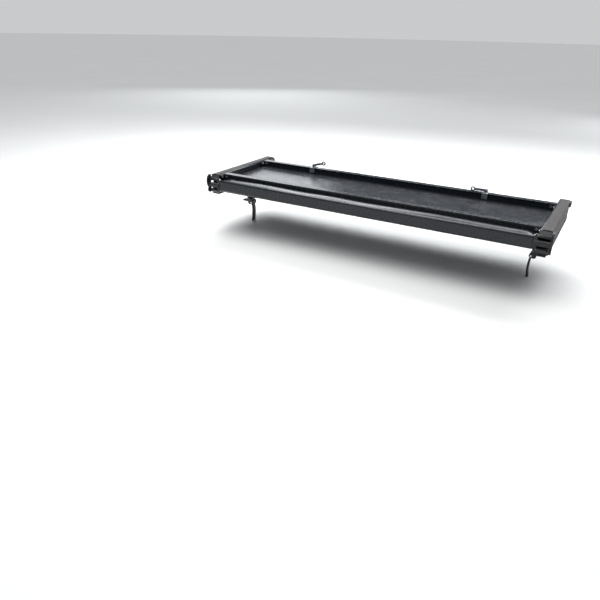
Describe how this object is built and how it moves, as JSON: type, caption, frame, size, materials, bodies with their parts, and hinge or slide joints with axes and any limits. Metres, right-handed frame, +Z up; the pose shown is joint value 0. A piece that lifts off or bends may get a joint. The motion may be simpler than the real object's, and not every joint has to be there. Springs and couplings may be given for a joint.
{
  "type": "tonneau cover",
  "caption": "Soft folding tonneau cover, stowed: framed vinyl panels folded into a flat stack, with a linked spacer fold, bed clamps and swinging catches.",
  "frame": {"origin": "middle of the front edge, on the underside of the front seal, in the plane that rests on the bed rails", "axes": "+X across the bed to the right, +Y forward towards the cab, +Z up"},
  "size_m": [1.623, 0.566, 0.3255],
  "materials": {
    "powder_coat": "black powder coat, satin, faint orange peel",
    "vinyl": "leather-grain coated vinyl, semi-gloss",
    "hook_tape": "hook-and-loop tape",
    "rubber_seal": "matt",
    "moulded_black": "glass-filled nylon, fine texture",
    "coated_steel": "black e-coat",
    "zinc_steel": "bright zinc plate",
    "cast_alloy": "tumbled grey die casting"
  },
  "bodies": {
    "front_panel": {"clamp_bracket_left": "coated_steel", "clamp_bracket_right": "coated_steel", "clamp_pins": "zinc_steel", "front_corner_angles": "coated_steel", "front_corner_screws": "zinc_steel", "front_crossbar_cab": "powder_coat", "front_crossbar_near": "powder_coat", "front_hem_tape": "hook_tape", "front_lug_left": "moulded_black", "front_lug_right": "moulded_black", "front_rail_left": "powder_coat", "front_rail_right": "powder_coat", "front_seal": "rubber_seal", "front_vinyl": "vinyl"},
    "fold_link": {"fold_link_left": "moulded_black", "fold_link_right": "moulded_black", "fold_strip": "vinyl", "front_fold_pins": "zinc_steel", "middle_fold_pins": "zinc_steel", "spacer_bar": "powder_coat"},
    "middle_panel": {"catch_base_left": "cast_alloy", "catch_base_right": "cast_alloy", "catch_pins": "zinc_steel", "hinge_cap_left": "moulded_black", "hinge_cap_right": "moulded_black", "middle_corner_angles": "coated_steel", "middle_corner_screws": "zinc_steel", "middle_crossbar_cab": "powder_coat", "middle_crossbar_near": "powder_coat", "middle_hem_tape": "hook_tape", "middle_knuckle_left": "moulded_black", "middle_knuckle_right": "moulded_black", "middle_lug_left": "moulded_black", "middle_lug_right": "moulded_black", "middle_rail_left": "powder_coat", "middle_rail_right": "powder_coat", "middle_vinyl": "vinyl", "second_fold_pins": "zinc_steel"},
    "rear_panel": {"rear_clamp_hooks": "coated_steel", "rear_corner_angles": "coated_steel", "rear_corner_screws": "zinc_steel", "rear_crossbar_cab": "powder_coat", "rear_crossbar_near": "powder_coat", "rear_hem_tape": "hook_tape", "rear_knuckle_left": "moulded_black", "rear_knuckle_right": "moulded_black", "rear_rail_left": "powder_coat", "rear_rail_right": "powder_coat", "rear_vinyl": "vinyl", "tail_seal": "rubber_seal"},
    "catch_left": {"catch_arm_left": "cast_alloy"},
    "catch_right": {"catch_arm_right": "cast_alloy"},
    "lever_left": {"clamp_lever_left": "moulded_black"},
    "lever_right": {"clamp_lever_right": "moulded_black"},
    "jaw_left": {"clamp_jaw_left": "coated_steel", "clamp_pad_left": "rubber_seal"},
    "jaw_right": {"clamp_jaw_right": "coated_steel", "clamp_pad_right": "rubber_seal"}
  },
  "joints": [
    {"name": "front_fold", "type": "hinge", "parent": "front_panel", "child": "fold_link", "pos_m": [0, -0.538, 0.023], "axis": [1, 0, 0], "range_deg": [0, 90]},
    {"name": "middle_fold", "type": "hinge", "parent": "fold_link", "child": "middle_panel", "pos_m": [0, -0.538, 0.076], "axis": [1, 0, 0], "range_deg": [0, 90]},
    {"name": "rear_fold", "type": "hinge", "parent": "middle_panel", "child": "rear_panel", "pos_m": [0, -0.012, 0.0665], "axis": [1, 0, 0], "range_deg": [0, 0.2]},
    {"name": "catch_left_swing", "type": "hinge", "parent": "middle_panel", "child": "catch_left", "pos_m": [-0.45, -0.108, 0.109], "axis": [0, -1, 0], "range_deg": [-15, 165]},
    {"name": "catch_right_swing", "type": "hinge", "parent": "middle_panel", "child": "catch_right", "pos_m": [0.45, -0.108, 0.109], "axis": [0, 1, 0], "range_deg": [0, 180]},
    {"name": "lever_left_swing", "type": "hinge", "parent": "front_panel", "child": "lever_left", "pos_m": [-0.718, -0.29, -0.09], "axis": [0, -1, 0], "range_deg": [0, 110]},
    {"name": "lever_right_swing", "type": "hinge", "parent": "front_panel", "child": "lever_right", "pos_m": [0.718, -0.29, -0.09], "axis": [0, 1, 0], "range_deg": [0, 110]},
    {"name": "jaw_left_slide", "type": "slide", "parent": "front_panel", "child": "jaw_left", "axis": [0, 0, -1], "range_m": [0, 0.0083]},
    {"name": "jaw_right_slide", "type": "slide", "parent": "front_panel", "child": "jaw_right", "axis": [0, 0, -1], "range_m": [0, 0.0083]}
  ],
  "couplings": [
    {"joint": "jaw_left_slide", "follows": "lever_left_swing", "m_per_rad": 0.004267},
    {"joint": "jaw_right_slide", "follows": "lever_right_swing", "m_per_rad": 0.004267}
  ]
}
